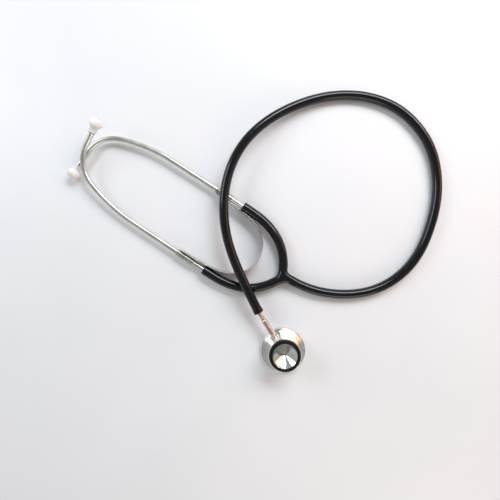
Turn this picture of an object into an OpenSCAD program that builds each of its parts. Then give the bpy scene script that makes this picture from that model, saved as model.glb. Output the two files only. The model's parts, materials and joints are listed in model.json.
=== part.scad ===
// Dual-head stethoscope lying on a table, with its headset crossed at the ear tips.
// Millimetres, +Z up. The origin is the centre of the diaphragm face, on the table.
// +X runs along the headset from the ear tips to the tube junction, +Y to the left ear tube.

/* [Chest piece] */
// Outer radius of the diaphragm retaining ring
ring_r = 24.5; // [24:0.1:26]
// Height of the stem's axis over the table
stem_z = 14; // [13.5:0.1:15]
// Direction of the stem, in degrees from +X
stem_turn = 154; // [152:1:155]
// Overall height of the chest piece
head_h = 29; // [28.5:0.1:31]
// Outer radius of the non-chill ring on the bell
bell_ring_r = 16.5; // [16:0.1:17]
// Radius of the bell's mouth
bell_mouth_r = 12.9; // [12:0.1:13.2]
// Depth of the bell's conical bowl
bell_depth = 7.5; // [6:0.5:8.5]

/* [Tubing] */
// Outer radius of the rubber tubing
tube_r = 5; // [4.5:0.1:5.2]
// Radius of the moulded tube junction's arms
junction_r = 5.4; // [5.2:0.1:5.8]

/* [Headset] */
// Height of the headset's plane over the table
plane_z = 7; // [7:0.1:8]
// Outer radius of the metal ear tubes
ear_tube_r = 2.75; // [2.5:0.05:3]
// Bore radius of the metal ear tubes
ear_bore_r = 2; // [1.5:0.05:2.2]
// Outward lean of the left ear tube, in degrees
left_lean = 0.5; // [0.5:0.5:3]
// Inward lean of the right ear tube, in degrees
right_lean = 1.5; // [0:0.5:1.5]
// Upward turn of the right ear tube in its collar, in degrees
right_lift = 17; // [17:0.5:20]
// Straight length of the ear tube from the end of its limb to its bend
ear_straight = 102; // [98:1:103]
// Width of the leaf spring's strip
spring_w = 12; // [10:0.5:12]
// Thickness of the leaf spring's strip
spring_t = 0.8; // [0.6:0.1:1]
// Outer radius of the ear tips
tip_r = 7; // [6:0.1:7]

/* [Hidden] */

gap = 0.05;             // running clearance between turning pieces
round_fn = 96;          // segments of the previewed circles

// Where each ear tube's axis leaves its rubber limb
left_pivot = [-112, 110, plane_z];
right_pivot = [-112, 28.5, plane_z];

// Route of the main tube, from the junction round to the chest piece's stem
main_route = [
    [-30, 70, 5.6], [-18, 71.1, 5], [-5, 74.2, 5], [8, 79, 5], [21, 85.6, 5],
    [33, 93.6, 5], [44, 103.2, 5], [53.5, 114.6, 5], [60.8, 127.4, 5], [66, 141.4, 5],
    [69, 156.4, 5], [69.4, 172, 5], [67.4, 187.8, 5], [63.2, 205.6, 5], [56.6, 225, 5],
    [46, 245, 5], [32, 262.6, 5], [13.6, 277.6, 5], [-8, 287, 5], [-32, 291.4, 5],
    [-56, 288.8, 5], [-78, 281, 5], [-98, 268.8, 5.2], [-116, 252.6, 6.2],
    [-131, 233.4, 8], [-143, 212.6, 10.6], [-151, 192, 13.4], [-155.4, 171, 15.8],
    [-155.6, 151, 17.6], [-152.4, 132, 18.6], [-146.4, 115, 19], [-138, 98.6, 19],
    [-126.6, 82.4, 18.8], [-113, 68.2, 18.6], [-98.6, 56.4, 18.8],
    [-84, 46.2, 19], [-71, 38, 18.5], [-57.6, 29.2, 15.2], [-45.4, 22.1, 14]];

// Routes of the two limbs, from the ear tubes' ends to the junction
left_route = [
    [-121, 110.1, 7], [-112, 110, 7], [-103, 109.9, 7], [-94, 109.1, 7], [-83.4, 106.3, 7],
    [-72.2, 101.6, 7], [-62.2, 95, 6.8], [-54.6, 87.1, 6.2], [-49.4, 78.6, 5.8]];
right_route = [
    [-121, 28.7, 7], [-112, 28.5, 7], [-103, 28.3, 7], [-94, 28.9, 7], [-83.8, 31, 7],
    [-72.8, 34.9, 7], [-63, 40.7, 6.8], [-55, 48.2, 6.2], [-48.6, 57.5, 5.8]];

// Centre line of the leaf spring, from the left collar round to the right one
spring_route = [
    [-154, 106], [-136, 105.8], [-121, 104.2], [-110, 103.2], [-100, 101.2],
    [-92, 97.6], [-85.2, 92.2], [-80, 85.6], [-76.9, 78], [-75.8, 69.5],
    [-76.9, 61], [-80, 53.4], [-85.2, 46.8], [-92, 41.4], [-100, 37.8],
    [-110, 35.8], [-121, 34.6], [-136, 33.8], [-154, 34]];

// Shape of an ear tube's two bends, toward the midline
bend1_r = 170;
bend1_a = atan2(0.352, 0.936);
bend2_r = 34;
bend2_a = 90;
end_straight = 22;
tube_inside = 2;        // how far the tube reaches past its pivot, inside the limb
swage_step = 0.04;
bend1_end = [-ear_straight - bend1_r * sin(bend1_a), -bend1_r * (1 - cos(bend1_a))];
bend2_c = bend1_end + bend2_r * [sin(bend1_a), -cos(bend1_a)];
bend2_end = bend2_c - bend2_r * [sin(bend2_a), -cos(bend2_a)];
ear_end = bend2_end - end_straight * [cos(bend2_a), sin(bend2_a)];

// Points along the stem's axis, measured from the chest piece's centre
boss_end = 19;
nut_end = 21.2;
neck_start = 40.5;
tube_end = 50.5;
barb_end = 61.5;
detent_at = 14;

flange_r = ring_r - 1.2;    // the chest piece's edge, inside the retaining ring
ring_seat_r = 15.3;         // the lip that the non-chill ring snaps over

collar_r = 3.6;
collar_from = 23;       // from the pivot to the collar's near end
collar_len = 20.5;

function unit(v) = v / norm(v);
function tangent(p, i) = unit(p[min(i + 1, len(p) - 1)] - p[max(i - 1, 0)]);
function side_of(t) = unit(cross([0, 0, 1], t));

// One ring of points round a route's point
function tube_ring(p, i, r, n) =
    let (t = tangent(p, i), s = side_of(t), u = cross(t, s))
    [for (k = [0 : n - 1]) p[i] + r * (cos(360 * k / n) * s + sin(360 * k / n) * u)];

// Catmull-Rom point between p1 and p2
function mid_point(p0, p1, p2, p3, t) =
    0.5 * (2 * p1 + (p2 - p0) * t + (2 * p0 - 5 * p1 + 4 * p2 - p3) * t * t
           + (3 * p1 - p0 - 3 * p2 + p3) * t * t * t);
function smooth_route(p, steps) =
    let (m = len(p) - 1)
    [for (i = [0 : m - 1]) for (s = [0 : steps - 1])
        mid_point(p[max(i - 1, 0)], p[i], p[i + 1], p[min(i + 2, m)], s / steps), p[m]];

// A closed tube through a route's points
module swept_tube(route, r, n) {
    rings = [for (i = [0 : len(route) - 1]) tube_ring(route, i, r, n)];
    points = [for (ring = rings) for (q = ring) q];
    m = len(route) - 1;
    walls = [for (i = [0 : m - 1]) for (k = [0 : n - 1])
        [i * n + k, (i + 1) * n + k, (i + 1) * n + (k + 1) % n, i * n + (k + 1) % n]];
    first = [for (k = [0 : n - 1]) k];
    last = [for (k = [0 : n - 1]) m * n + n - 1 - k];
    polyhedron(points, concat(walls, [first, last]), convexity = 8);
}

// A cylinder between two points
module rod(a, b, r) {
    d = b - a;
    translate(a)
        rotate([0, acos(d[2] / norm(d)), atan2(d[1], d[0])])
            cylinder(r = r, h = norm(d), $fn = round_fn);
}

// The stem's frame: +Z runs outward along the stem
module stem_frame() {
    translate([0, 0, stem_z])
        rotate([0, 0, stem_turn])
            rotate([0, 90, 0])
                children();
}

// An ear tube's frame: -X runs along the straight tube, and the bends go toward -Y
module left_frame() {
    translate(left_pivot)
        rotate([0, 0, -left_lean])
            children();
}
module right_frame() {
    translate(right_pivot)
        rotate([0, 0, -right_lean])
            mirror([0, 1, 0])
                rotate([-right_lift, 0, 0])
                    children();
}

// ---- chest piece ----

module chest_body() {
    shoulder_z = 6.6;
    rim_z = head_h - 1.4;
    flange_z = head_h - 3.9;
    outline = [
        [0, 3.4], [6, 3.2], [flange_r - 2.1, 1.9], [flange_r - 2.1, 1.3], [flange_r, 1.3],
        [flange_r, shoulder_z], [flange_r - 0.4, shoulder_z + 0.8], [18.6, 9.1], [15, 11.2],
        [13.6, 12.4], [13.1, 13.8], [13.1, 16.8], [13.5, 18.4], [14.6, 19.8], [16.4, 21.4],
        [17.3, 23], [17.6, flange_z - 0.6], [17.2, flange_z], [ring_seat_r, flange_z],
        [ring_seat_r, rim_z], [bell_mouth_r, rim_z], [2.2, rim_z - bell_depth],
        [0, rim_z - bell_depth]];
    color("silver")
        difference() {
            union() {
                rotate_extrude($fn = round_fn) polygon(outline);
                stem_frame() cylinder(r = 4.3, h = boss_end, $fn = round_fn);
            }
            // sound channel from the diaphragm to the bell
            translate([0, 0, 2]) cylinder(r = 1.5, h = head_h, $fn = 32);
            // bore that the stem turns in
            stem_frame() translate([0, 0, -3.4])
                cylinder(r = 2.75 + gap, h = boss_end + 5, $fn = round_fn);
        }
}

module bell_ring() {
    seat_z = head_h - 3.9;
    rim_z = head_h - 1.4;
    color([0.05, 0.05, 0.05])
        rotate_extrude($fn = round_fn)
            polygon([[bell_mouth_r - 0.1, rim_z], [ring_seat_r, rim_z], [ring_seat_r, seat_z],
                     [bell_ring_r, seat_z], [bell_ring_r, head_h - 0.9],
                     [bell_ring_r - 0.8, head_h], [bell_mouth_r + 0.6, head_h],
                     [bell_mouth_r - 0.1, head_h - 0.7]]);
}

module diaphragm() {
    color([0.9, 0.9, 0.86])
        rotate_extrude($fn = round_fn)
            polygon([[0, 0], [flange_r - 2.3, 0], [flange_r - 1.7, 0.8], [flange_r - 0.1, 0.8],
                     [flange_r - 0.1, 1.3], [flange_r - 2, 1.3], [flange_r - 2.5, 0.5],
                     [0, 0.5]]);
}

module diaphragm_ring() {
    color("silver")
        rotate_extrude($fn = round_fn)
            polygon([[flange_r - 1.4, 0], [ring_r - 0.8, 0], [ring_r, 0.8], [ring_r, 5.2],
                     [ring_r - 0.9, 6.4], [flange_r, 6.5], [flange_r, 0.8],
                     [flange_r - 1.4, 0.8]]);
}

module stem_nut() {
    color("silver")
        stem_frame()
            rotate_extrude($fn = round_fn)
                polygon([[3.5, boss_end], [4.3, boss_end], [4.6, boss_end + 0.4],
                         [4.6, nut_end - 0.5], [4.1, nut_end], [3 + gap, nut_end],
                         [3 + gap, boss_end + 1], [3.5, boss_end + 1]]);
}

// ---- stem ----

module stem() {
    barb = [for (i = [0 : 2]) each [[2.25, barb_end - 9.6 + 3.2 * i],
                                    [2.25, barb_end - 9.2 + 3.2 * i],
                                    [2.7, barb_end - 9 + 3.2 * i],
                                    [2.25, barb_end - 6.8 + 3.2 * i]]];
    outline = concat(
        [[0, -3], [2.75, -3], [2.75, 8], [2.2, 8], [2.2, 9.4], [2.75, 9.4],
         [2.75, boss_end - 0.1], [2.2, boss_end - 0.1], [2.2, boss_end + 0.8], [3, boss_end + 1.1],
         [3, neck_start - 0.5], [2.6, neck_start], [2.25, neck_start + 0.3],
         [2.25, tube_end + 1]],
        barb,
        [[2.1, barb_end], [0, barb_end]]);
    color("silver")
        difference() {
            stem_frame() rotate_extrude($fn = round_fn) polygon(outline);
            stem_frame() translate([0, 0, -1.5]) cylinder(r = 1.3, h = barb_end + 5, $fn = 32);
            // side hole toward the bell
            translate([0, 0, stem_z]) cylinder(r = 1.3, h = 5, $fn = 32);
            // pocket of the detent ball and its spring
            detent_frame() cylinder(r = 0.85, h = 5, $fn = 32);
        }
}

// The detent's pocket, across the stem: +Z runs out of it
module detent_frame() {
    stem_frame()
        translate([0, 0, detent_at]) rotate([0, -90, 0]) translate([0, 0, 1.3]) children();
}

module detent_ball() {
    color("gainsboro")
        detent_frame() translate([0, 0, 0.7]) sphere(r = 0.75, $fn = 32);
}

// A sprung ring of wire in the sound bore, open at the side away from the ball
module detent_spring() {
    wire_r = 0.2;
    opening = 60;
    color("gray")
        stem_frame()
            translate([0, 0, detent_at])
                rotate([0, 0, opening / 2])
                    rotate_extrude(angle = 360 - opening, $fn = 32)
                        translate([1.04, 0]) circle(r = wire_r, $fn = 32);
}

module stem_clip() {
    color("silver")
        stem_frame()
            difference() {
                translate([0, 0, boss_end]) cylinder(r = 3.4, h = 0.7, $fn = round_fn);
                translate([0, 0, boss_end - 1]) cylinder(r = 2.2, h = 3, $fn = round_fn);
                translate([0, -0.8, boss_end - 1]) cube([5, 1.6, 3]);
            }
}

module stem_seal() {
    color([0.1, 0.1, 0.1])
        stem_frame()
            translate([0, 0, 8.7])
                rotate_extrude($fn = round_fn) translate([2.49, 0]) circle(r = 0.28, $fn = 32);
}

// ---- tubing ----

module main_tube() {
    color([0.06, 0.06, 0.07]) swept_tube(main_route, tube_r, 12);
}

module left_limb() {
    color([0.06, 0.06, 0.07]) swept_tube(left_route, tube_r, 12);
}

module right_limb() {
    color([0.06, 0.06, 0.07]) swept_tube(right_route, tube_r, 12);
}

// An arm of the junction: it carries on straight from the end of a tube's route
module junction_arm(last, before, r, len) {
    rod(last + len * unit(last - before), last, r);
}

module y_junction() {
    m = len(left_route) - 1;
    color([0.06, 0.06, 0.07]) {
        junction_arm(left_route[m], left_route[m - 1], junction_r - 0.1, 11.4);
        junction_arm(right_route[m], right_route[m - 1], junction_r, 11.6);
        junction_arm(main_route[0], main_route[1], junction_r + 0.2, 20);
    }
}

// ---- headset ----

module leaf_spring() {
    line = smooth_route(spring_route, 4);
    m = len(line) - 1;
    function along(i) = unit(line[min(i + 1, m)] - line[max(i - 1, 0)]);
    function shifted(i, d) = line[i] + d * [-along(i)[1], along(i)[0]];
    color("silver")
        translate([0, 0, plane_z - spring_w / 2])
            linear_extrude(height = spring_w)
                polygon(concat([for (i = [0 : m]) shifted(i, spring_t / 2)],
                               [for (i = [m : -1 : 0]) shifted(i, -spring_t / 2)]));
}

// The rolled sleeve at each end of the spring
module collar() {
    color("silver")
        translate([-collar_from, 0, 0])
            rotate([0, -90, 0])
                rotate_extrude($fn = round_fn)
                    polygon([[ear_tube_r + gap, 0], [collar_r - 0.3, 0], [collar_r, 0.3],
                             [collar_r, collar_len - 0.3], [collar_r - 0.3, collar_len],
                             [ear_tube_r + gap, collar_len]]);
}
module left_collar() { left_frame() collar(); }
module right_collar() { right_frame() collar(); }

// A swaged ring where two lengths of an ear tube meet, at the local origin along +X
module swage(r) {
    rotate([0, 90, 0]) translate([0, 0, -1])
        cylinder(r = r + swage_step, h = 2, $fn = round_fn);
}

// The solid path of an ear tube, with radius r, from its end inside the limb
module ear_path(r, over) {
    translate([tube_inside + over, 0, 0]) rotate([0, -90, 0])
        cylinder(r = r, h = ear_straight + tube_inside + over, $fn = round_fn);
    translate([-ear_straight, 0, 0]) swage(r);
    translate([-ear_straight, -bend1_r, 0]) rotate([0, 0, 90])
        rotate_extrude(angle = bend1_a, $fn = round_fn) translate([bend1_r, 0])
            circle(r = r, $fn = round_fn);
    translate([bend1_end[0], bend1_end[1], 0]) rotate([0, 0, bend1_a]) swage(r);
    translate([bend2_c[0], bend2_c[1], 0]) rotate([0, 0, 90 + bend1_a])
        rotate_extrude(angle = bend2_a - bend1_a, $fn = round_fn) translate([bend2_r, 0])
            circle(r = r, $fn = round_fn);
    translate([bend2_end[0], bend2_end[1], 0]) rotate([0, 0, bend2_a]) {
        swage(r);
        rotate([0, -90, 0]) cylinder(r = r, h = end_straight + over, $fn = round_fn);
    }
}

module ear_tube() {
    color("gainsboro")
        difference() {
            ear_path(ear_tube_r, 0);
            ear_path(ear_bore_r, 1);
        }
}
module left_ear_tube() { left_frame() ear_tube(); }
module right_ear_tube() { right_frame() ear_tube(); }

// The frame of an ear tube's outer end: +Z runs out of the tube
module ear_end_frame() {
    translate([ear_end[0], ear_end[1], 0])
        rotate([0, 0, 180 + bend2_a])
            rotate([0, 90, 0])
                children();
}

module ferrule() {
    color("silver")
        ear_end_frame()
            rotate_extrude($fn = round_fn)
                polygon([[ear_tube_r, -7], [3.4, -7], [3.4, -5.6], [3.1, -5.6], [3.1, 0.9],
                         [2.9, 1.1], [ear_bore_r, 1.1], [ear_bore_r, 0], [ear_tube_r, 0]]);
}
module left_ferrule() { left_frame() ferrule(); }
module right_ferrule() { right_frame() ferrule(); }

// Mushroom ear tip: a short neck, a flared skirt and a domed cap
module ear_tip() {
    cap_z = 4.4;
    cap_h = 6.4;
    dome = [for (a = [0 : 10 : 70]) [tip_r * cos(a), cap_z + cap_h * sin(a)]];
    color("ivory")
        ear_end_frame()
            rotate_extrude($fn = round_fn)
                polygon(concat(
                    [[3.1 + gap, -5.2], [4, -5.2], [4.2, -4.8], [4, -1], [4.6, 0.8],
                     [6.2, 2.4], [tip_r - 0.2, 3.4]],
                    dome,
                    [[1.6, cap_z + cap_h], [1.6, 1.6], [3.1 + gap, 1.6]]));
}
module left_ear_tip() { left_frame() ear_tip(); }
module right_ear_tip() { right_frame() ear_tip(); }

chest_body();
bell_ring();
diaphragm();
diaphragm_ring();
stem_nut();
stem();
stem_clip();
stem_seal();
detent_ball();
detent_spring();
main_tube();
y_junction();
left_limb();
right_limb();
leaf_spring();
left_collar();
right_collar();
left_ear_tube();
right_ear_tube();
left_ferrule();
right_ferrule();
left_ear_tip();
right_ear_tip();
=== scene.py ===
"""Looks of a dual-head stethoscope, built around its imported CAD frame.

Everything is in metres in the row frame: +Z up, the origin at the centre of the diaphragm's
face on the table, +X along the headset from the ear tips to the tube junction.
Profiles are written in millimetres, as (distance along the piece's axis, radius).
"""

import json
import math

import bpy
import numpy as np
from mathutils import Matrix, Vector


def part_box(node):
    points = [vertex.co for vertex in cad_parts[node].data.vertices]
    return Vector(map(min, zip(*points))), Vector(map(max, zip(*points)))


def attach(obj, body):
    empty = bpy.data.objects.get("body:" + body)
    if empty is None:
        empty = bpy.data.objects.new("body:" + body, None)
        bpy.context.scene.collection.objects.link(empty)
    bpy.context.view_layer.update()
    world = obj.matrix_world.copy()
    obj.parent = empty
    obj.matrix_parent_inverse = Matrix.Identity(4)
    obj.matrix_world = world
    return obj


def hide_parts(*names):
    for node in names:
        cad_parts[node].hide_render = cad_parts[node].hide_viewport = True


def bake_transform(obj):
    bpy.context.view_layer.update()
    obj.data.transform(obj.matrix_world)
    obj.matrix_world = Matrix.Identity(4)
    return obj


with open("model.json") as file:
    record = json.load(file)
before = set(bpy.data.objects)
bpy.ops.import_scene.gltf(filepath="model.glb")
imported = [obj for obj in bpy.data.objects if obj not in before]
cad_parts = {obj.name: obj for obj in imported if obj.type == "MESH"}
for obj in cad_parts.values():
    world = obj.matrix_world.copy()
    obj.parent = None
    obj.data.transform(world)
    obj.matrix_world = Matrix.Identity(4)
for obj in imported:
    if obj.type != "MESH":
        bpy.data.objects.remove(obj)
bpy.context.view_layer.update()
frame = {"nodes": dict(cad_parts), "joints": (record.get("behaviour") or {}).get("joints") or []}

MM = 0.001
JOINTS = {joint["name"]: joint for joint in frame["joints"]}


# ---- places that the frame gives ----

def unit(v):
    return np.array(v, float) / np.linalg.norm(v)


def joint_point(name):
    return np.array(JOINTS[name]["pos_m"], float)


def joint_axis(name):
    return unit(JOINTS[name]["axis"])


HEAD_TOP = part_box("bell_ring")[1].z
RING_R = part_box("diaphragm_ring")[1].x / MM
PLANE_Z = joint_point("left_ear_turn")[2]
STEM_POINT = joint_point("head_turn")
STEM_AXIS = joint_axis("head_turn")

# ---- the camera, straight over the table ----

CAMERA_AT = (-0.0893, 0.0738, 0.400)
CAMERA_TURN = math.radians(32.16)
LENS_MM = 25.92
PHOTO_RIGHT = np.array([math.cos(CAMERA_TURN), math.sin(CAMERA_TURN), 0])
PHOTO_UP = np.array([-math.sin(CAMERA_TURN), math.cos(CAMERA_TURN), 0])


def make_camera():
    data = bpy.data.cameras.new("camera")
    data.lens = LENS_MM
    data.sensor_width = 36
    camera = bpy.data.objects.new("camera", data)
    camera.location = CAMERA_AT
    camera.rotation_euler = (0, 0, CAMERA_TURN)
    bpy.context.scene.collection.objects.link(camera)
    bpy.context.scene.camera = camera


make_camera()

# ---- routes of the tubing and of the spring, as the CAD has them ----

MAIN_ROUTE = [
    (-30, 70, 5.6), (-18, 71.1, 5), (-5, 74.2, 5), (8, 79, 5), (21, 85.6, 5),
    (33, 93.6, 5), (44, 103.2, 5), (53.5, 114.6, 5), (60.8, 127.4, 5), (66, 141.4, 5),
    (69, 156.4, 5), (69.4, 172, 5), (67.4, 187.8, 5), (63.2, 205.6, 5), (56.6, 225, 5),
    (46, 245, 5), (32, 262.6, 5), (13.6, 277.6, 5), (-8, 287, 5), (-32, 291.4, 5),
    (-56, 288.8, 5), (-78, 281, 5), (-98, 268.8, 5.2), (-116, 252.6, 6.2),
    (-131, 233.4, 8), (-143, 212.6, 10.6), (-151, 192, 13.4), (-155.4, 171, 15.8),
    (-155.6, 151, 17.6), (-152.4, 132, 18.6), (-146.4, 115, 19), (-138, 98.6, 19),
    (-126.6, 82.4, 18.8), (-113, 68.2, 18.6), (-98.6, 56.4, 18.8),
    (-84, 46.2, 19), (-71, 38, 18.5), (-57.6, 29.2, 15.2), (-45.4, 22.1, 14)]
LEFT_ROUTE = [
    (-121, 110.1, 7), (-112, 110, 7), (-103, 109.9, 7), (-94, 109.1, 7), (-83.4, 106.3, 7),
    (-72.2, 101.6, 7), (-62.2, 95, 6.8), (-54.6, 87.1, 6.2), (-49.4, 78.6, 5.8)]
RIGHT_ROUTE = [
    (-121, 28.7, 7), (-112, 28.5, 7), (-103, 28.3, 7), (-94, 28.9, 7), (-83.8, 31, 7),
    (-72.8, 34.9, 7), (-63, 40.7, 6.8), (-55, 48.2, 6.2), (-48.6, 57.5, 5.8)]
SPRING_ROUTE = [
    (-154, 106), (-136, 105.8), (-121, 104.2), (-110, 103.2), (-100, 101.2),
    (-92, 97.6), (-85.2, 92.2), (-80, 85.6), (-76.9, 78), (-75.8, 69.5),
    (-76.9, 61), (-80, 53.4), (-85.2, 46.8), (-92, 41.4), (-100, 37.8),
    (-110, 35.8), (-121, 34.6), (-136, 33.8), (-154, 34)]

TUBE_R = 5.0
EAR_TUBE_R = 2.75
EAR_BORE_R = 2.0


# ---- paths ----

class Path:
    """A smooth line with a frame that doesn't twist; at() also reaches past its ends."""

    def __init__(self, points):
        self.points = np.array(points, float)
        steps = np.linalg.norm(np.diff(self.points, axis=0), axis=1)
        self.along = np.concatenate([[0], np.cumsum(steps)])
        self.length = self.along[-1]
        self.tangents = np.gradient(self.points, self.along, axis=0)
        self.tangents /= np.linalg.norm(self.tangents, axis=1)[:, None]
        side = np.cross([0, 0, 1], self.tangents[0])
        if np.linalg.norm(side) < 0.1:
            side = np.array([1.0, 0, 0])
        self.sides = np.zeros_like(self.points)
        for i, tangent in enumerate(self.tangents):
            side = unit(side - tangent * (side @ tangent))
            self.sides[i] = side

    def at(self, s):
        """The point, the side and the up direction at s metres along."""
        inside = min(max(s, 0), self.length)
        point, tangent, side = (
            np.array([np.interp(inside, self.along, values[:, k]) for k in range(3)])
            for values in (self.points, self.tangents, self.sides))
        tangent = unit(tangent)
        side = unit(side - tangent * (side @ tangent))
        return point + tangent * (s - inside), side, np.cross(tangent, side)

    def part(self, start, end, step=0.002):
        """Points along the path from start to end."""
        count = max(2, round(abs(end - start) / step) + 1)
        return [self.at(s)[0] for s in np.linspace(start, end, count)]


def spline(points, step):
    """A natural cubic spline through points, sampled about every step."""
    p = np.array(points, float)
    chord = np.concatenate([[0], np.cumsum(np.linalg.norm(np.diff(p, axis=0), axis=1))])
    n = len(p)
    h = np.diff(chord)
    system = np.eye(n)
    right = np.zeros_like(p)
    for i in range(1, n - 1):
        system[i, i - 1:i + 2] = h[i - 1], 2 * (h[i - 1] + h[i]), h[i]
        right[i] = 6 * ((p[i + 1] - p[i]) / h[i] - (p[i] - p[i - 1]) / h[i - 1])
    m = np.linalg.solve(system, right)
    out = []
    for t in np.linspace(0, chord[-1], max(2, int(chord[-1] / step) + 1)):
        i = min(int(np.searchsorted(chord, t, side="right")) - 1, n - 2)
        a, b = chord[i + 1] - t, t - chord[i]
        out.append((m[i] * a ** 3 + m[i + 1] * b ** 3) / (6 * h[i])
                   + (p[i] / h[i] - m[i] * h[i] / 6) * a
                   + (p[i + 1] / h[i] - m[i + 1] * h[i] / 6) * b)
    return np.array(out)


def smoothed(points, passes):
    """The points with their small wobbles taken out; the ends and their directions stay."""
    p = points.copy()
    weight = np.minimum(np.arange(len(p)), np.arange(len(p))[::-1]) / 8
    weight = np.clip(weight - 0.25, 0, 0.5)[1:-1, None]
    for _ in range(passes):
        p[1:-1] += weight * ((p[:-2] + p[2:]) / 2 - p[1:-1])
    return p


def route_path(route, passes=60):
    """The path through a route's points, which are in millimetres."""
    points = [tuple(q) + (PLANE_Z / MM,) * (3 - len(q)) for q in route]
    return Path(smoothed(spline(np.array(points) * MM, 1.5 * MM), passes))


def straight(origin, axis, length=0.1):
    return Path([origin, np.array(origin) + unit(axis) * length])


UPRIGHT = straight((0, 0, 0), (0, 0, 1))


# ---- meshes ----

ON_AXIS = 1e-6           # a profile's point with a smaller radius is one vertex, on the axis


def new_piece(name, verts, faces, sharp_deg=35):
    """A mesh object with smooth faces and sharp edges where they turn quickly."""
    mesh = bpy.data.meshes.new(name)
    mesh.from_pydata([tuple(v) for v in verts], [], faces)
    mesh.validate()
    mesh.polygons.foreach_set("use_smooth", [True] * len(mesh.polygons))
    mesh.set_sharp_from_angle(angle=math.radians(sharp_deg))
    piece = bpy.data.objects.new(name, mesh)
    bpy.context.scene.collection.objects.link(piece)
    return piece


def rounded(profile, radius, steps=5):
    """The profile with its corners rounded. A point's third number is its own corner radius."""
    out = [tuple(profile[0][:2])]
    for before, corner, after in zip(profile, profile[1:], profile[2:]):
        r = corner[2] if len(corner) > 2 else radius
        a, c, b = (np.array(q[:2], float) for q in (before, corner, after))
        to_a, to_b = a - c, b - c
        la, lb = np.linalg.norm(to_a), np.linalg.norm(to_b)
        cut = min(r, la * 0.45, lb * 0.45)
        turn = abs(math.pi - math.acos(np.clip(to_a @ to_b / (la * lb), -1, 1)))
        if cut < 0.01 or turn < math.radians(4):
            out.append(tuple(c))
            continue
        start, end = c + to_a / la * cut, c + to_b / lb * cut
        for t in np.linspace(0, 1, steps):
            out.append(tuple((1 - t) ** 2 * start + 2 * t * (1 - t) * c + t * t * end))
    out.append(tuple(profile[-1][:2]))
    return out


def turned(name, profile, path=UPRIGHT, segments=96, scallop=None):
    """A piece turned about a path, from (along, radius) points in millimetres.

    The profile starts and ends on the axis, or it closes on itself as a ring.
    scallop(along, radius, angle) gives a factor on the radius, for shapes that aren't quite round.
    """
    turn = [math.tau * k / segments for k in range(segments)]
    verts, loops = [], []
    for s, r in profile:
        point, side, up = path.at(s * MM)
        if r < ON_AXIS:
            loops.append([len(verts)] * segments)
            verts.append(point)
            continue
        loops.append(list(range(len(verts), len(verts) + segments)))
        for a in turn:
            reach = r * MM * (scallop(s, r, a) if scallop else 1)
            verts.append(point + reach * (math.cos(a) * side + math.sin(a) * up))
    open_ended = profile[0][1] < ON_AXIS and profile[-1][1] < ON_AXIS
    pairs = list(zip(loops, loops[1:])) + ([] if open_ended else [(loops[-1], loops[0])])
    faces = []
    for a, b in pairs:
        for k in range(segments):
            n = (k + 1) % segments
            face = list(dict.fromkeys((a[k], a[n], b[n], b[k])))
            if len(face) > 2:
                faces.append(face)
    return new_piece(name, verts, faces)


def stations(start, end, step):
    """Evenly spaced numbers from start to end, both left out."""
    count = max(2, int(abs(end - start) / step))
    return list(np.linspace(start, end, count + 1)[1:-1])


def tube_profile(length, outer, lip, bore, depth_start, depth_end, step=1.5):
    """A tube that is open for some depth at each end; a depth of 0 closes that end."""
    def mouth(edge, inward, depth):
        if depth == 0:
            return [(edge, 0), (edge, outer - lip), (edge + inward * lip * 0.3, outer - 0.3 * lip),
                    (edge + inward * lip, outer)]
        return [(edge + inward * depth, 0), (edge + inward * depth, bore),
                (edge + inward * lip, bore), (edge + inward * lip * 0.3, bore + lip * 0.3),
                (edge, bore + lip), (edge, outer - lip),
                (edge + inward * lip * 0.3, outer - 0.3 * lip), (edge + inward * lip, outer)]
    walls = [(s, outer) for s in stations(lip, length - lip, step)]
    return mouth(0, 1, depth_start) + walls + mouth(length, -1, depth_end)[::-1]


# ---- materials ----

def add(tree, kind, inputs=None, **settings):
    """A node, with its settings and with its inputs set or linked."""
    made = tree.nodes.new(kind)
    for key, value in settings.items():
        setattr(made, key, value)
    for key, value in (inputs or {}).items():
        if isinstance(value, bpy.types.NodeSocket):
            tree.links.new(value, made.inputs[key])
        else:
            made.inputs[key].default_value = value
    return made


def noise(tree, coords, scale, detail=4, stretch=None):
    """Noise from 0 to 1 over the coordinates. stretch scales X, Y and Z apart."""
    if stretch:
        coords = add(tree, "ShaderNodeMapping", {"Vector": coords, "Scale": stretch}).outputs[0]
    return add(tree, "ShaderNodeTexNoise",
               {"Vector": coords, "Scale": scale, "Detail": detail}).outputs["Fac"]


def rings(tree, coords, period, axis="Z", distort=0.0):
    """Turning marks: fine rings about an axis, with a period in metres."""
    return add(tree, "ShaderNodeTexWave",
               {"Vector": coords, "Scale": math.tau / (20 * period), "Distortion": distort,
                "Detail": 2, "Detail Scale": 2},
               wave_type="RINGS", rings_direction=axis).outputs["Fac"]


def spread(tree, value, low, high, out_low, out_high):
    return add(tree, "ShaderNodeMapRange",
               {"Value": value, "From Min": low, "From Max": high,
                "To Min": out_low, "To Max": out_high}).outputs["Result"]


def mix(tree, factor, a, b):
    made = add(tree, "ShaderNodeMix", data_type="RGBA")
    for socket, value in ((made.inputs[0], factor), (made.inputs[6], a), (made.inputs[7], b)):
        if isinstance(value, bpy.types.NodeSocket):
            tree.links.new(value, socket)
        else:
            socket.default_value = value
    return made.outputs[2]


def bump(tree, height, distance, strength, normal=None):
    inputs = {"Height": height, "Distance": distance, "Strength": strength}
    if normal is not None:
        inputs["Normal"] = normal
    return add(tree, "ShaderNodeBump", inputs).outputs["Normal"]


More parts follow.
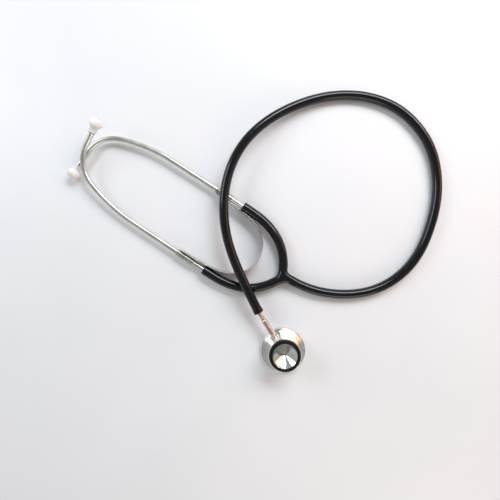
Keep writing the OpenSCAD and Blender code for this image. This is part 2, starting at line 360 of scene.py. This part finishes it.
def surface(name, dark, light, rough, mottle, grain, grain_depth, metallic=0.0,
            turning=None, scratches=None, wear=None, **constants):
    """A procedural finish.

    dark and light are mixed by broad noise of scale mottle; rough is the lowest and highest
    roughness; grain is the scale of fine bumps of grain_depth metres. turning is (period, depth)
    of turning marks about the Z axis, scratches (stretch, depth) of fine drawn lines, and wear
    (colour, roughness) what shows on edges. Other keywords are constant shader inputs.
    """
    material = bpy.data.materials.new(name)
    material.use_nodes = True
    tree = material.node_tree
    shader = tree.nodes["Principled BSDF"]
    coords = add(tree, "ShaderNodeTexCoord").outputs["Object"]
    broad = noise(tree, coords, mottle, 5)
    blotch = noise(tree, coords, mottle * 3.7, 3)
    colour = mix(tree, spread(tree, broad, 0.35, 0.65, 0, 1), (*dark, 1), (*light, 1))
    roughness = spread(tree, blotch, 0.3, 0.7, *rough)
    fine = noise(tree, coords, grain, 3)
    normal = bump(tree, fine, grain_depth, 1.0)
    if scratches:
        stretch, depth = scratches
        normal = bump(tree, noise(tree, coords, 1, 2, stretch), depth, 1.0, normal)
    if turning:
        period, depth = turning
        marks = rings(tree, coords, period, distort=0.4)
        normal = bump(tree, marks, depth, 1.0, normal)
    if wear:
        worn_colour, worn_roughness = wear
        edge = add(tree, "ShaderNodeNewGeometry").outputs["Pointiness"]
        patchy = add(tree, "ShaderNodeMath", {0: edge, 1: spread(tree, fine, 0, 1, -0.02, 0.02)},
                     operation="ADD").outputs[0]
        worn = spread(tree, patchy, 0.53, 0.60, 0, 1)
        colour = mix(tree, worn, colour, (*worn_colour, 1))
        roughness = add(tree, "ShaderNodeMix", {0: worn, 2: roughness, 3: worn_roughness},
                        data_type="FLOAT").outputs[0]
    tree.links.new(colour, shader.inputs["Base Color"])
    tree.links.new(roughness, shader.inputs["Roughness"])
    tree.links.new(normal, shader.inputs["Normal"])
    shader.inputs["Metallic"].default_value = metallic
    for key, value in constants.items():
        shader.inputs[key].default_value = value
    return material


VINYL = surface("black_vinyl", (0.0022, 0.0024, 0.003), (0.0045, 0.005, 0.0065), (0.09, 0.19),
                mottle=90, grain=1400, grain_depth=0.000012,
                **{"IOR": 1.44, "Coat Weight": 0.12, "Coat Roughness": 0.05, "Coat IOR": 1.4})
HEAD_METAL = surface("turned_chrome", (0.72, 0.70, 0.65), (0.86, 0.84, 0.79), (0.14, 0.28),
                     mottle=130, grain=1800, grain_depth=0.000004, metallic=1.0,
                     turning=(0.00045, 0.000012), wear=((0.86, 0.86, 0.84), 0.10))
BOWL_METAL = surface("polished_chrome", (0.74, 0.73, 0.69), (0.88, 0.87, 0.83), (0.08, 0.18),
                     mottle=160, grain=900, grain_depth=0.000006, metallic=1.0,
                     turning=(0.0009, 0.000005), wear=((0.86, 0.86, 0.84), 0.08))
# The warm tan of these base colours is a painted reflection of warm surroundings; the more brassy
# colour on edges is wear.
STEM_METAL = surface("warm_reflection_plated_metal", (0.62, 0.53, 0.43), (0.80, 0.72, 0.62), (0.14, 0.26),
                     mottle=170, grain=2200, grain_depth=0.000006, metallic=1.0,
                     wear=((0.80, 0.70, 0.54), 0.18))
EAR_METAL = surface("plated_tube", (0.58, 0.58, 0.53), (0.74, 0.74, 0.68), (0.26, 0.40),
                    mottle=60, grain=2400, grain_depth=0.000004, metallic=1.0,
                    scratches=((60, 900, 900), 0.000006), wear=((0.84, 0.84, 0.80), 0.14))
SLEEVE_METAL = surface("rolled_sleeve", (0.36, 0.36, 0.31), (0.52, 0.52, 0.46), (0.26, 0.42),
                       mottle=90, grain=2200, grain_depth=0.000006, metallic=1.0,
                       scratches=((60, 900, 900), 0.000006), wear=((0.70, 0.70, 0.64), 0.18))
SPRING_STEEL = surface("spring_steel", (0.36, 0.33, 0.30), (0.56, 0.53, 0.50), (0.16, 0.34),
                       mottle=80, grain=2600, grain_depth=0.000006, metallic=1.0,
                       scratches=((300, 300, 1800), 0.000003), wear=((0.62, 0.56, 0.50), 0.26))
RING_RUBBER = surface("ring_rubber", (0.003, 0.003, 0.003), (0.007, 0.007, 0.0065), (0.42, 0.60),
                      mottle=220, grain=3000, grain_depth=0.00002,
                      **{"Specular IOR Level": 0.22})
FILM = surface("diaphragm_film", (0.70, 0.70, 0.64), (0.80, 0.80, 0.75), (0.28, 0.42),
               mottle=140, grain=1500, grain_depth=0.00001,
               scratches=((1800, 1800, 30), 0.000008))
TIP_PLASTIC = surface("ear_tip_plastic", (0.80, 0.76, 0.72), (0.88, 0.86, 0.84), (0.24, 0.40),
                      mottle=120, grain=1600, grain_depth=0.00001,
                      **{"Subsurface Weight": 0.25, "Subsurface Radius": (0.003, 0.002, 0.0015),
                         "Subsurface Scale": 1.0, "IOR": 1.48})


def finish_piece(piece, material):
    piece.data.materials.clear()
    piece.data.materials.append(material)
    return piece


# ---- tubing: the cords come first ----

main_path = route_path(MAIN_ROUTE)
left_path = route_path(LEFT_ROUTE)
right_path = route_path(RIGHT_ROUTE)
LIP = 0.45
STEM_NECK_R = 2.25
TUBE_BORE_GAP = 0.1
TUBE_WALL_R = 4          # a tube's points beyond this radius are its outside
MAIN_START = np.array(MAIN_ROUTE[0]) * MM
LIMB_RIGID_TO = 0.012    # metres along a limb; make_limb looks up the point here and doesn't use it
LIMB_BENDS_TO = 0.060    # metres along a limb; likewise looked up and not used


def make_main_tube():
    """The long tube, from inside the junction to its open end round the stem's neck."""
    length = main_path.length / MM

    def flare(s, r, _angle):
        """The open end is stretched over the stem's barbs."""
        return 1 + (0.09 * float(np.clip((s - length + 7) / 5, 0, 1)) if r > TUBE_WALL_R else 0)

    profile = tube_profile(length, TUBE_R, LIP, STEM_NECK_R + TUBE_BORE_GAP, 0, 9)
    piece = turned("main_tubing", profile, main_path, 48, flare)
    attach(finish_piece(piece, VINYL), "tubing")
    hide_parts("main_tube")
    main_path.part(0, main_path.length)


def make_limb(side, path):
    """A short limb, from its open end on the ear tube to the junction."""
    length = path.length / MM

    def grip(s, r, _angle):
        """The limb swells a little where the ear tube is pushed into it."""
        return 1 + (0.045 * float(np.clip((14 - s) / 8, 0, 1)) if r > TUBE_WALL_R else 0)

    profile = tube_profile(length, TUBE_R, LIP, EAR_TUBE_R + TUBE_BORE_GAP, 8, 0)
    piece = turned(f"{side}_tubing_limb", profile, path, 48, grip)
    finish_piece(piece, VINYL)
    path.at(LIMB_BENDS_TO)[0]
    path.at(LIMB_RIGID_TO)[0]
    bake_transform(piece)
    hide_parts(f"{side}_limb")
    path.at(path.length)[0]
    path.part(path.length, 0)


make_main_tube()
make_limb("left", left_path)
make_limb("right", right_path)


# ---- the moulded junction, a smooth union of its three arms ----

JUNCTION_Z = MAIN_START[2]


def junction_arms():
    """Each arm's line, in metres, from just inside the tube that it joins to the shared hub."""
    inside, beyond = 3, (4, 8, 11.5)
    arms = []
    for path, start, inward in ((left_path, left_path.length, -1),
                                (right_path, right_path.length, -1),
                                (main_path, 0.0, 1)):
        outer = [path.at(start + inward * s * MM)[0] for s in (inside, 0)]
        arms.append(outer + [outer[1] + (outer[1] - outer[0]) / inside * s for s in beyond])
    hub = np.mean([arm[-1] for arm in arms[:2]], axis=0)
    return [np.array(arm[:-1] + [hub]) for arm in arms]


def line_distance(points, line):
    """How far each point is from a broken line."""
    best = np.full(len(points), np.inf)
    for a, b in zip(line, line[1:]):
        d = b - a
        t = np.clip((points - a) @ d / (d @ d), 0, 1)
        best = np.minimum(best, np.linalg.norm(points - a - t[:, None] * d, axis=1))
    return best


def junction_field(points, arms):
    """Signed distance to the junction's surface.

    Fillets join the arms, and the web between them is kept nearly as flat as the tubes.
    """
    blend, soft = 3.6 * MM, 0.9 * MM
    arm_r, web_half = (TUBE_R + 0.12) * MM, (TUBE_R + 0.5) * MM
    near = line_distance(points, arms[0])
    for arm in arms[1:]:
        other = line_distance(points, arm)
        h = np.clip(blend - np.abs(near - other), 0, None) / blend
        near = np.minimum(near, other) - h * h * blend / 4
    near -= arm_r
    web = np.abs(points[:, 2] - JUNCTION_Z) - web_half
    h = np.clip(soft - np.abs(near - web), 0, None) / soft
    return np.maximum(near, web) + h * h * soft / 4


def junction_mesh(arms, voxel=0.00075):
    """The arms as rough tubes, joined by a voxel remesh."""
    verts, faces = [], []
    for arm in arms:
        piece = turned("rough_arm", [(0, 0), (0, TUBE_R)] + [
            (s, TUBE_R) for s in stations(0, Path(arm).length / MM, 1)] + [
            (Path(arm).length / MM, TUBE_R), (Path(arm).length / MM, 0)], Path(arm), 24)
        faces += [[i + len(verts) for i in f.vertices] for f in piece.data.polygons]
        verts += [tuple(v.co) for v in piece.data.vertices]
        bpy.data.objects.remove(piece)
    rough = new_piece("rough_junction", verts, faces)
    remesh = rough.modifiers.new("remesh", "REMESH")
    remesh.mode = "VOXEL"
    remesh.voxel_size = voxel
    seen = rough.evaluated_get(bpy.context.evaluated_depsgraph_get())
    mesh = bpy.data.meshes.new_from_object(seen)
    bpy.data.objects.remove(rough)
    return mesh


def make_junction():
    """The joined arms, relaxed and drawn onto the field's surface by turns."""
    rounds, pulls, relax, flattest = 12, 2, 0.5, 0.2
    arms = junction_arms()
    mesh = junction_mesh(arms)
    p = np.array([v.co for v in mesh.vertices], float)
    faces = [list(f.vertices) for f in mesh.polygons]
    ends = np.array([[e.vertices[0], e.vertices[1]] for e in mesh.edges])
    count = np.zeros(len(p))
    for side in (0, 1):
        np.add.at(count, ends[:, side], 1)
    step = 0.02 * MM
    for _ in range(rounds):
        total = np.zeros_like(p)
        np.add.at(total, ends[:, 0], p[ends[:, 1]])
        np.add.at(total, ends[:, 1], p[ends[:, 0]])
        p += relax * (total / count[:, None] - p)
        for _ in range(pulls):
            f = junction_field(p, arms)
            slope = np.stack([(junction_field(p + d, arms) - f) / step
                              for d in np.eye(3) * step], axis=1)
            p -= (f / np.maximum((slope * slope).sum(1), flattest))[:, None] * slope
    piece = new_piece("moulded_junction", p, faces, 80)
    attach(finish_piece(piece, VINYL), "tubing")
    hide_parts("y_junction")


make_junction()


# ---- chest piece ----

def swapped(profile):
    """A profile that is easier to write as (radius, height)."""
    return [(q[1], q[0]) + tuple(q[2:]) for q in profile]


def bored(body):
    """The body with the bore that the stem and its detent turn in, out through the boss."""
    inner, outer, bore_r = -4.2, 24, 2.95
    rod = turned("bore", [(inner, 0), (inner, bore_r), (outer, bore_r), (outer, 0)], STEM_PATH, 48)
    cut = body.modifiers.new("bore", "BOOLEAN")
    cut.operation = "DIFFERENCE"
    cut.solver = "EXACT"
    cut.object = rod
    seen = body.evaluated_get(bpy.context.evaluated_depsgraph_get())
    mesh = bpy.data.meshes.new_from_object(seen)
    body.modifiers.clear()
    body.data = mesh
    bpy.data.objects.remove(rod)
    return body


def make_chest_body():
    """The turned body: flange, cone, waist and flared bell, with a polished bowl."""
    top = HEAD_TOP / MM
    rim = top - 1.4
    flange_r = RING_R - 1.2
    mouth_r, depth, hole_r = 12.9, 7.5, 1.5
    outside = [
        (hole_r, 3.4), (2.2, 3.3), (flange_r - 2.1, 1.9), (flange_r - 2.1, 1.35),
        (flange_r - 0.05, 1.35), (flange_r - 0.05, 6.3, 0.1), (flange_r - 1.0, 6.45, 0.2),
        (flange_r - 1.0, 6.75, 0.2), (flange_r - 0.5, 7.1, 0.5), (18.5, 9.1, 3), (15.1, 11.1, 1.5),
        (13.6, 12.4, 0.8), (13.1, 13.9, 1.2), (13.1, 16.8, 1.5), (13.5, 18.4, 1.5),
        (14.6, 19.8, 2), (16.4, 21.4, 1.5), (17.35, 23.1, 0.8), (17.45, 24.4, 0.3),
        (17.0, 25.05, 0.25), (15.8, 25.1, 0.1), (15.4, 25.05, 0.05), (15.3, rim, 0.1),
        (mouth_r + 0.4, rim, 0.15), (mouth_r + 0.05, rim - 0.02, 0.1)]
    bowl = [(mouth_r - 0.15 - t * (mouth_r - 2.6), rim - 0.15 - (depth - 0.3) * t ** 0.86)
            for t in np.linspace(0, 1, 25)]
    seat = [(2.35, rim - depth - 0.02, 0.25), (1.9, rim - depth - 0.1, 0.2),
            (hole_r, rim - depth - 0.5, 0.1)]
    profile = rounded(swapped(outside), 0.25) + swapped(bowl) + rounded(swapped(seat), 0.15)
    body = bored(turned("turned_body", profile, UPRIGHT, 160))
    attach(finish_piece(body, HEAD_METAL), "head")
    body.data.materials.append(BOWL_METAL)
    for face in body.data.polygons:
        x, y, z = face.center
        if math.hypot(x, y) < (mouth_r + 0.2) * MM and z > (rim - depth - 1) * MM:
            face.material_index = 1
    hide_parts("chest_body")

    boss = turned("stem_boss", rounded([
        (10.5, 0), (10.5, 5.6), (12.6, 4.9, 1.0), (13.6, 4.3, 0.8), (17.2, 4.3, 0.1),
        (17.35, 4.12, 0.05), (17.6, 4.12, 0.05), (17.75, 4.3, 0.1), (18.9, 4.3, 0.3),
        (19.0, 3.2, 0.1), (18.2, 2.9, 0.1), (18.2, 0)], 0.2), STEM_PATH, 64)
    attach(finish_piece(boss, HEAD_METAL), "head")


STEM_PATH = straight(STEM_POINT, STEM_AXIS)
make_chest_body()


def make_bell_ring():
    """The rubber non-chill ring, with a soft bead round its crown."""
    top = HEAD_TOP / MM
    profile = rounded(swapped([
        (15.32, top - 3.85), (16.3, top - 3.85, 0.3), (16.5, top - 2.6, 0.6),
        (16.45, top - 1.0, 0.8), (15.7, top, 0.9), (13.6, top, 0.9), (12.82, top - 0.7, 0.6),
        (12.8, top - 1.38, 0.1), (15.32, top - 1.38, 0.05)]), 0.3, 8)
    piece = turned("non_chill_ring", profile, UPRIGHT, 160)
    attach(finish_piece(piece, RING_RUBBER), "head")
    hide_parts("bell_ring")


def make_diaphragm():
    r = RING_R
    film = turned("diaphragm_disc", rounded(swapped([
        (0, 0), (r - 3.8, 0.0, 0.3), (r - 3.4, 0.25, 0.2), (r - 2.9, 0.8, 0.2),
        (r - 1.35, 0.82, 0.1), (r - 1.35, 1.25, 0.1), (r - 3.2, 1.28, 0.2), (r - 3.7, 0.5, 0.3),
        (0, 0.5)]), 0.1), UPRIGHT, 128)
    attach(finish_piece(film, FILM), "head")
    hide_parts("diaphragm")


def make_retaining_ring():
    """The screwed ring that holds the diaphragm, with two grip lines round its side."""
    r = RING_R
    groove = [(r, 1.9, 0.05), (r - 0.18, 2.05, 0.05), (r - 0.18, 2.25, 0.05), (r, 2.4, 0.05)]
    second = [(q[0], q[1] + 1.6, q[2]) for q in groove]
    profile = rounded(swapped(
        [(r - 2.55, 0.75), (r - 2.55, 0.12, 0.1), (r - 2.3, 0, 0.1), (r - 0.9, 0, 0.5),
         (r - 0.1, 0.75, 0.5)]
        + groove + second
        + [(r, 5.1, 0.5), (r - 0.55, 6.1, 0.4), (r - 1.0, 6.35, 0.12),
           (r - 1.22, 6.42, 0.08), (r - 1.22, 1.3, 0.05), (r - 1.22, 0.82, 0.05)]), 0.15)
    piece = turned("retaining_ring", profile, UPRIGHT, 160)
    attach(finish_piece(piece, HEAD_METAL), "head")
    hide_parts("diaphragm_ring")


make_bell_ring()
make_diaphragm()
make_retaining_ring()


# ---- stem, along the head joint's axis ----

def make_stem():
    barbs = [q for start in (51.9, 55.1, 58.3) for q in (
        (start, 2.25, 0.05), (start + 0.4, 2.25, 0.05), (start + 0.6, 2.7, 0.1),
        (start + 2.8, 2.25, 0.1))]
    rings_on_neck = [q for start in (43.4, 46.9) for q in (
        (start, 2.2, 0.2), (start + 0.35, 2.65, 0.2), (start + 1.0, 2.65, 0.2),
        (start + 1.35, 2.2, 0.2))]
    profile = rounded(
        [(-1.5, 0), (-1.5, 1.3, 0.05), (-3, 1.3, 0.1), (-3, 2.7, 0.2), (8, 2.7, 0.05),
         (8, 2.2, 0.05), (9.4, 2.2, 0.05), (9.4, 2.7, 0.05), (18.9, 2.7, 0.1),
         (18.9, 2.2, 0.05), (19.8, 2.2, 0.05),
         (20.1, 3, 0.1), (22.4, 3, 0.02), (22.6, 2.86, 0.02), (22.9, 2.86, 0.02), (23.1, 3, 0.02),
         (40.2, 3, 0.3), (40.8, 2.6, 0.2), (41.2, 2.2, 0.2)]
        + rings_on_neck + barbs
        + [(61.4, 2.2, 0.2), (61.5, 1.35, 0.1), (53.5, 1.3, 0.1), (53.5, 0)], 0.2)
    piece = turned("turned_stem", profile, STEM_PATH, 64)
    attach(finish_piece(piece, STEM_METAL), "tubing")
    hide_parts("stem")


def make_stem_nut():
    profile = rounded([
        (19.05, 3.5), (19.05, 4.25, 0.15), (19.35, 4.6, 0.2), (19.85, 4.6, 0.05),
        (20.0, 4.42, 0.05), (20.2, 4.42, 0.05), (20.35, 4.6, 0.05), (20.8, 4.6, 0.2),
        (21.2, 4.1, 0.2), (21.2, 3.1, 0.1), (20.1, 3.07, 0.1), (20.1, 3.5, 0.1)], 0.15)
    piece = turned("collar_nut", profile, STEM_PATH, 64)
    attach(finish_piece(piece, STEM_METAL), "head")
    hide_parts("stem_nut")


make_stem()
make_stem_nut()


# ---- headset ----

class Headset:
    """One side's ear tube frame, from its two joints, and the tube's smooth centre line."""

    STRAIGHT = 102.0         # millimetres from the pivot to the first bend
    GENTLE = (170.0, math.atan2(0.352, 0.936))   # a bend's radius, and its heading at its end
    TIGHT = (34.0, math.radians(90))
    END = 22.0               # from the second bend to the ear tip's ferrule
    INSIDE = 2.0             # reaches this far into the limb

    def __init__(self, side):
        self.side = side
        self.pivot = joint_point(f"{side}_ear_turn")
        self.along = joint_axis(f"{side}_ear_turn")
        self.outward = joint_axis(f"{side}_tip_turn")
        self.tip = joint_point(f"{side}_tip_turn")
        self.path = Path([self.place(*q) for q in self.outline()])
        self.tip_path = straight(self.tip, self.outward)

    def place(self, x, y):
        """A point of the tube's own plane, in metres in the row frame."""
        return self.pivot + self.along * x * MM - self.outward * y * MM

    def outline(self):
        step = math.radians(1)
        points = [(self.INSIDE - s, 0.0) for s in np.arange(0, self.STRAIGHT + self.INSIDE, 3)]
        x, y, heading = -self.STRAIGHT, 0.0, 0.0
        points.append((x, y))
        for radius, end in (self.GENTLE, self.TIGHT):
            centre = (x + radius * math.sin(heading), y - radius * math.cos(heading))
            for a in np.linspace(heading, end, max(3, int((end - heading) / step)))[1:]:
                points.append((centre[0] - radius * math.sin(a), centre[1] + radius * math.cos(a)))
            (x, y), heading = points[-1], end
        return points + [(x, y - s) for s in stations(0, self.END, 3)] + [(x, y - self.END)]


def make_ear_tube(headset):
    length = headset.path.length / MM
    profile = tube_profile(length, EAR_TUBE_R, 0.25, EAR_BORE_R, 20, 12, 1.2)
    piece = turned(f"{headset.side}_binaural", profile, headset.path, 40)
    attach(finish_piece(piece, EAR_METAL), f"{headset.side}_ear")
    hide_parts(f"{headset.side}_ear_tube")


SEAM_ANGLE = math.radians(250)


def make_collar(headset):
    """The spring's end rolled round the ear tube into a sleeve, with its seam outward."""
    bore, outer, seam = EAR_TUBE_R + 0.05, 3.6, 0.09

    def roll(_s, r, angle):
        """A groove along the sleeve's outside, where the rolled strip meets itself."""
        off = abs((angle - SEAM_ANGLE + math.pi) % math.tau - math.pi)
        return 1 - (0.10 * max(0.0, 1 - off / seam) if r > bore + 0.2 else 0)

    path = straight(headset.pivot, -headset.along)
    profile = rounded([
        (23, bore), (23, outer - 0.05, 0.25), (25.2, outer, 0.1), (25.4, outer - 0.14, 0.05),
        (25.9, outer - 0.14, 0.05), (26.1, outer, 0.1), (40.4, outer, 0.1),
        (40.6, outer - 0.14, 0.05), (41.1, outer - 0.14, 0.05), (41.3, outer, 0.1),
        (43.5, outer - 0.05, 0.25), (43.5, bore)], 0.2)
    piece = turned(f"{headset.side}_sleeve", profile, path, 96, roll)
    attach(finish_piece(piece, SLEEVE_METAL), f"{headset.side}_arm")
    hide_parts(f"{headset.side}_collar")


def make_ferrule(headset):
    profile = rounded([
        (-7, EAR_TUBE_R), (-7, 3.4, 0.2), (-6.4, 3.4, 0.1), (-6.3, 3.25, 0.05), (-6.1, 3.25, 0.05),
        (-6.0, 3.4, 0.1), (-5.6, 3.4, 0.15), (-5.5, 3.1, 0.1), (0.7, 3.1, 0.2), (1.1, 2.85, 0.1),
        (1.1, EAR_BORE_R, 0.1), (0.02, EAR_BORE_R, 0.02), (0.02, EAR_TUBE_R, 0.02)], 0.1)
    piece = turned(f"{headset.side}_end_ferrule", profile, headset.tip_path, 64)
    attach(finish_piece(piece, STEM_METAL), f"{headset.side}_ear")
    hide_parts(f"{headset.side}_ferrule")


def make_ear_tip(headset):
    """A mushroom tip: ribbed neck, conical underside, rolled edge and domed cap."""
    cap_z, cap_h, r = 4.3, 6.4, 7.0
    dome = [(cap_z + cap_h * math.sin(a), r * math.cos(a) ** 0.92)
            for a in np.radians(np.linspace(0, 76, 22))]
    neck = [(-5.2, 3.16), (-5.2, 3.95, 0.25), (-4.7, 4.15, 0.2), (-4.0, 4.05, 0.2),
            (-1.2, 3.95, 0.8), (0.6, 4.35, 1.2), (2.0, 5.6, 1.0), (3.1, 6.6, 0.6),
            (3.6, 6.95, 0.4), (cap_z, r)]
    mouth = [(10.75, 1.75), (10.72, 1.66, 0.1), (10.2, 1.6, 0.2), (1.7, 1.6, 0.1), (1.5, 3.16, 0.1)]
    profile = rounded(neck, 0.2) + dome[1:] + rounded([dome[-1]] + mouth, 0.15)[1:]
    piece = turned(f"{headset.side}_ear_cap", profile, headset.tip_path, 96)
    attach(finish_piece(piece, TIP_PLASTIC), f"{headset.side}_tip")
    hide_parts(f"{headset.side}_ear_tip")


for headset in (Headset("left"), Headset("right")):
    make_ear_tube(headset)
    make_collar(headset)
    make_ferrule(headset)
    make_ear_tip(headset)


# ---- leaf spring: two halves of one strip, which meet at its middle ----

SPRING_BENDS = 0.62      # a share of each half, from the strip's middle; the point there is looked up and not used
SPRING_ENDS_AT = 1 * MM  # along the route, from either of its ends


def make_spring_half(side, path, start, end):
    """From start, at the strip's middle, to its rounded end on the sleeve."""
    half_t, half_w, edge = 0.4, 6.0, 0.28
    corner = 3.0
    section = [
        (half_w - edge, half_t), (half_w - edge * 0.3, half_t - edge * 0.3),
        (half_w, half_t - edge), (half_w, edge - half_t),
        (half_w - edge * 0.3, edge * 0.3 - half_t), (half_w - edge, -half_t)]
    section += [(-w, t) for w, t in section[::-1]]
    length = abs(end - start) / MM
    along = [0.0] + stations(0, length - corner, 1.2) + [
        length - corner + corner * math.sin(a) for a in np.radians((0, 25, 45, 60, 72, 82, 90))]
    verts, faces = [], []
    n = len(section)
    for s in along:
        point, across, up = path.at(start + (end - start) * s / length)
        past = max(0.0, s - (length - corner)) / corner
        narrow = (half_w - corner * (1 - math.sqrt(max(0.0, 1 - past * past)))) / half_w
        for w, t in section:
            verts.append(point + up * w * narrow * MM + across * t * MM)
    for i in range(len(along) - 1):
        for k in range(n):
            m = (k + 1) % n
            faces.append([i * n + k, i * n + m, (i + 1) * n + m, (i + 1) * n + k])
    faces.append(list(range(n))[::-1])
    faces.append([(len(along) - 1) * n + k for k in range(n)])
    piece = new_piece(f"{side}_spring_half", verts, faces, 50)
    finish_piece(piece, SPRING_STEEL)
    path.at(start)[0]
    path.at(start + (end - start) * SPRING_BENDS)[0]
    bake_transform(piece)
    return piece


def make_leaf_spring():
    path = route_path(SPRING_ROUTE, 30)
    middle = path.length / 2
    left = make_spring_half("left", path, middle, SPRING_ENDS_AT)
    right = make_spring_half("right", path, middle, path.length - SPRING_ENDS_AT)
    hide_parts("leaf_spring")
    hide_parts("leaf_spring")


make_leaf_spring()

# ---- small CAD pieces that keep their shape ----

for node_name, material in (("stem_clip", SPRING_STEEL), ("detent_ball", BOWL_METAL),
                            ("detent_spring", SPRING_STEEL), ("stem_seal", RING_RUBBER)):
    node = frame["nodes"][node_name]
    node.data.materials.clear()
    node.data.materials.append(material)


# ---- table and light ----

def make_floor():
    floor = new_piece("table_top", [(-9, -9, 0), (9, -9, 0), (9, 9, 0), (-9, 9, 0)], [(0, 1, 2, 3)])
    material = surface("table_white", (0.80, 0.81, 0.83), (0.83, 0.835, 0.85), (0.42, 0.55),
                       mottle=6, grain=900, grain_depth=0.00001)
    floor.data.materials.append(material)


def in_photo(right, up, height):
    """A place given from the middle of the view, in metres."""
    middle = np.array([CAMERA_AT[0], CAMERA_AT[1], 0])
    return middle + right * PHOTO_RIGHT + up * PHOTO_UP + np.array([0, 0, height])


def make_light(name, place, size, power, colour, target=(0, 0, 0)):
    data = bpy.data.lights.new(name, "AREA")
    data.shape = "RECTANGLE"
    data.size, data.size_y = size
    data.energy = power
    data.color = colour
    light = bpy.data.objects.new(name, data)
    light.location = place
    toward = Vector(in_photo(*target)) - Vector(place)
    light.rotation_euler = toward.to_track_quat("-Z", "Y").to_euler()
    bpy.context.scene.collection.objects.link(light)


def make_world():
    """Dim overhead and brighter toward the horizon, so that metal has something to show."""
    world = bpy.data.worlds.new("studio")
    world.use_nodes = True
    bpy.context.scene.world = world
    tree = world.node_tree
    up = add(tree, "ShaderNodeSeparateXYZ",
             {0: add(tree, "ShaderNodeTexCoord").outputs["Generated"]}).outputs["Z"]
    ramp = add(tree, "ShaderNodeValToRGB", {"Fac": up})
    ramp.color_ramp.elements[0].position = 0.05
    ramp.color_ramp.elements[0].color = (0.74, 0.77, 0.83, 1)
    ramp.color_ramp.elements[1].position = 0.85
    ramp.color_ramp.elements[1].color = (0.36, 0.36, 0.35, 1)
    background = tree.nodes["Background"]
    tree.links.new(ramp.outputs["Color"], background.inputs["Color"])
    background.inputs["Strength"].default_value = 0.74


make_floor()
make_world()
make_light("window", in_photo(0.55, 0.95, 0.95), (1.1, 0.55), 12.5, (0.89, 0.95, 1.0))
make_light("window_gap", in_photo(0.36, 0.72, 0.90), (0.8, 0.12), 2.8, (0.92, 0.97, 1.0))
make_light("side_window", in_photo(-0.9, 0.5, 0.7), (0.6, 0.5), 4.5, (0.86, 0.93, 1.0))
make_light("warm_bounce", in_photo(0.3, -0.9, 0.45), (0.8, 0.4), 2.5, (1.0, 0.86, 0.70))
make_light("orange_card", in_photo(0.84, 0.34, 0.50), (0.55, 0.34), 1.9, (1.0, 0.38, 0.14),
           (0.04, -0.11, 0.02))

bpy.context.scene.view_settings.view_transform = "Standard"
